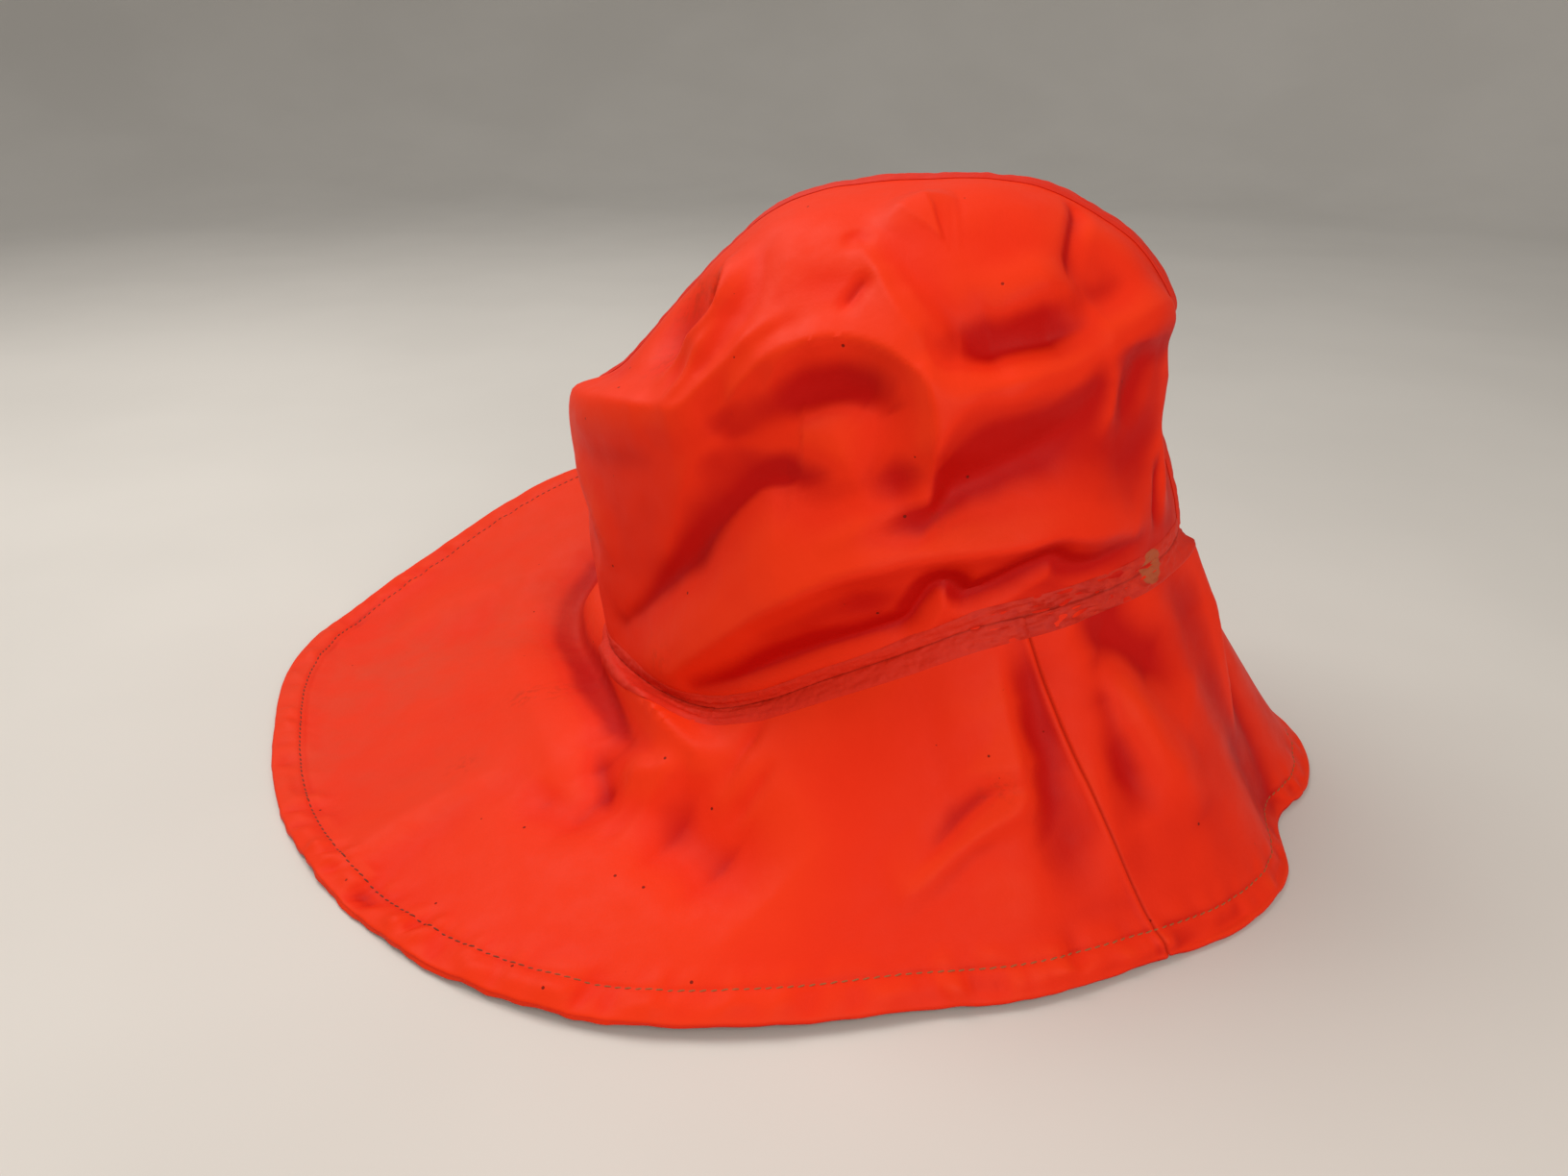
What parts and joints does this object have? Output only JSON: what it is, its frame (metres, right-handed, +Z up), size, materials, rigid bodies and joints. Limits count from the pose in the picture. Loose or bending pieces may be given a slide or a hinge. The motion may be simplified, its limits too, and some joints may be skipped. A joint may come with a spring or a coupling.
{
  "type": "rain hat",
  "caption": "Soft rain hat of coated cloth: a creased crown of two side panels on a wide brim, short at the front and long over the neck, lying on its brim.",
  "frame": {"origin": "middle of the hat's plan, on the surface it lies on", "axes": "+X towards the short front brim, +Y towards the wearer's left, +Z up"},
  "size_m": [0.41, 0.3252, 0.2063],
  "materials": {
    "coated_cloth": "waterproof coating with a soft satin sheen, orange-red",
    "seam_tape": "coated tape, crimson and a little darker than the cloth",
    "thread": "ochre sewing thread"
  },
  "bodies": {
    "root": {"crown_right_panel": "coated_cloth", "crown_left_panel": "coated_cloth", "neck_brim_panel": "coated_cloth", "front_brim_panel": "coated_cloth", "brim_seam_tape": "seam_tape", "crown_seam_tape": "seam_tape"}
  },
  "joints": []
}
